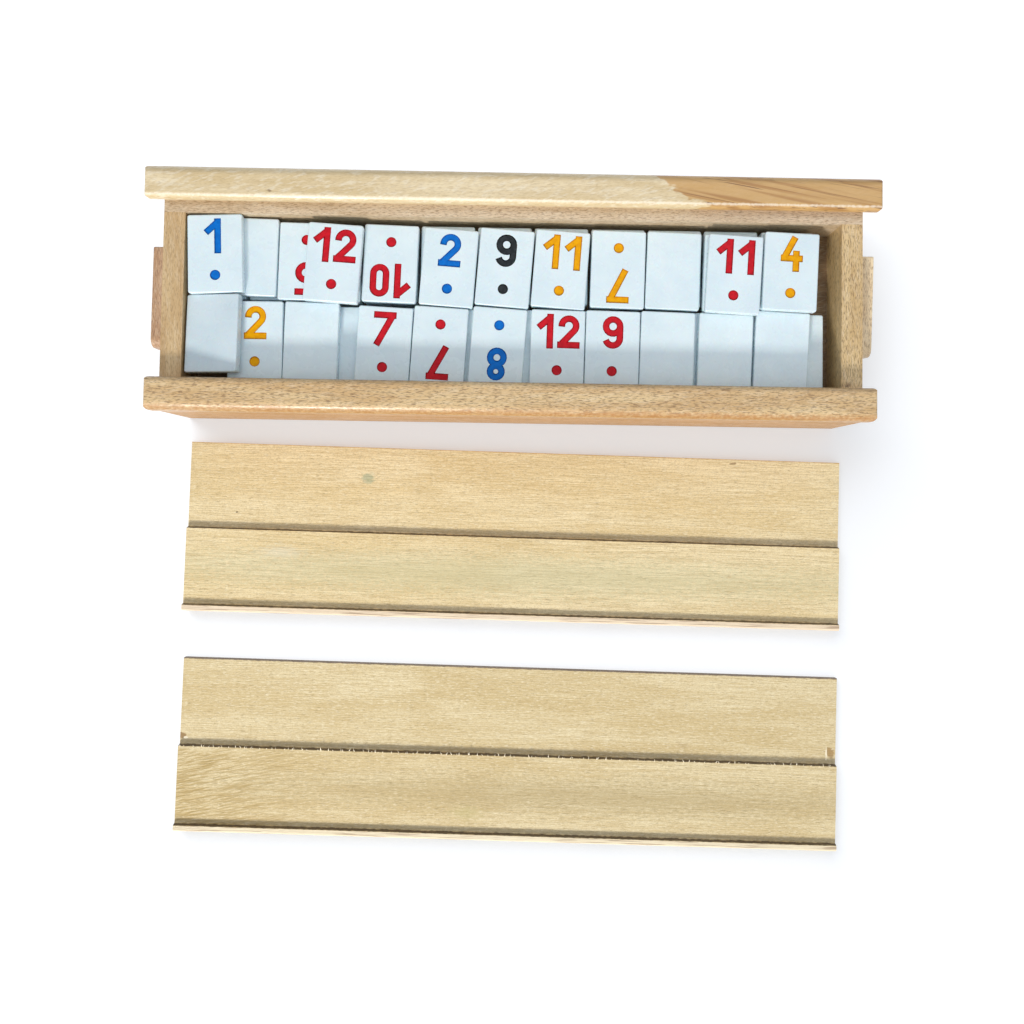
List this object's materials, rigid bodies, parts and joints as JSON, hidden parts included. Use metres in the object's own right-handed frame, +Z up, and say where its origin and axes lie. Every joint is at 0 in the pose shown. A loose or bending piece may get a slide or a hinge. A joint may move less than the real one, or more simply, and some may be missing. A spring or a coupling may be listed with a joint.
{
  "type": "tile game case",
  "caption": "Open wooden case of numbered tiles, with rack bays above and below, turn buttons on its ends, and its stepped tile racks lying in front.",
  "frame": {"origin": "on the table, at the middle of the footprint of the whole set: the case and the two racks in front of it", "axes": "+X along the case to its right end, +Y from the racks towards the back of the case, +Z up"},
  "size_m": [0.3504, 0.3288, 0.0529],
  "materials": {
    "beech_rails": "planed beech with a thin clear lacquer",
    "beech_boards": "planed beech with a thin clear lacquer",
    "beech_buttons": "sanded reddish beech",
    "floor_board": "bare thin board",
    "pale_wood_racks": "machined bare pale wood",
    "screw_brass": "turned, slightly dull",
    "washer_steel": "stamped steel",
    "tile_white": "moulded, gloss"
  },
  "bodies": {
    "set": {"back_rail": "beech_rails", "back_side_board": "beech_boards", "button_screws": "screw_brass", "button_washers": "washer_steel", "floor_panel": "floor_board", "front_rail": "beech_rails", "front_side_board": "beech_boards", "left_end_board": "beech_boards", "rack_1": "pale_wood_racks", "rack_2": "pale_wood_racks", "right_end_board": "beech_boards", "tile_black_9": "tile_white", "tile_blank_back_left": "tile_white", "tile_blank_back_right": "tile_white", "tile_blank_front_a": "tile_white", "tile_blank_front_b": "tile_white", "tile_blank_front_c": "tile_white", "tile_blank_front_left": "tile_white", "tile_blank_leaning": "tile_white", "tile_blue_1": "tile_white", "tile_blue_2": "tile_white", "tile_blue_8": "tile_white", "tile_red_10": "tile_white", "tile_red_11": "tile_white", "tile_red_12_back": "tile_white", "tile_red_12_front": "tile_white", "tile_red_5": "tile_white", "tile_red_7": "tile_white", "tile_red_7_turned": "tile_white", "tile_red_9": "tile_white", "tile_under_red_11": "tile_white", "tile_under_yellow_4": "tile_white", "tile_yellow_11": "tile_white", "tile_yellow_2": "tile_white", "tile_yellow_4": "tile_white", "tile_yellow_7": "tile_white", "tile_yellow_under": "tile_white", "tiles_layer_1": "tile_white", "tiles_layer_2": "tile_white", "tiles_layer_3": "tile_white"},
    "left_button": {"left_turn_button": "beech_buttons"},
    "right_button": {"right_turn_button": "beech_buttons"}
  },
  "joints": [
    {"name": "left_button_turn", "type": "hinge", "parent": "set", "child": "left_button", "pos_m": [-0.1714, 0.10533, 0.02645], "axis": [1, 0, 0], "continuous": true},
    {"name": "right_button_turn", "type": "hinge", "parent": "set", "child": "right_button", "pos_m": [0.1714, 0.10693, 0.02645], "axis": [1, 0, 0], "continuous": true}
  ]
}
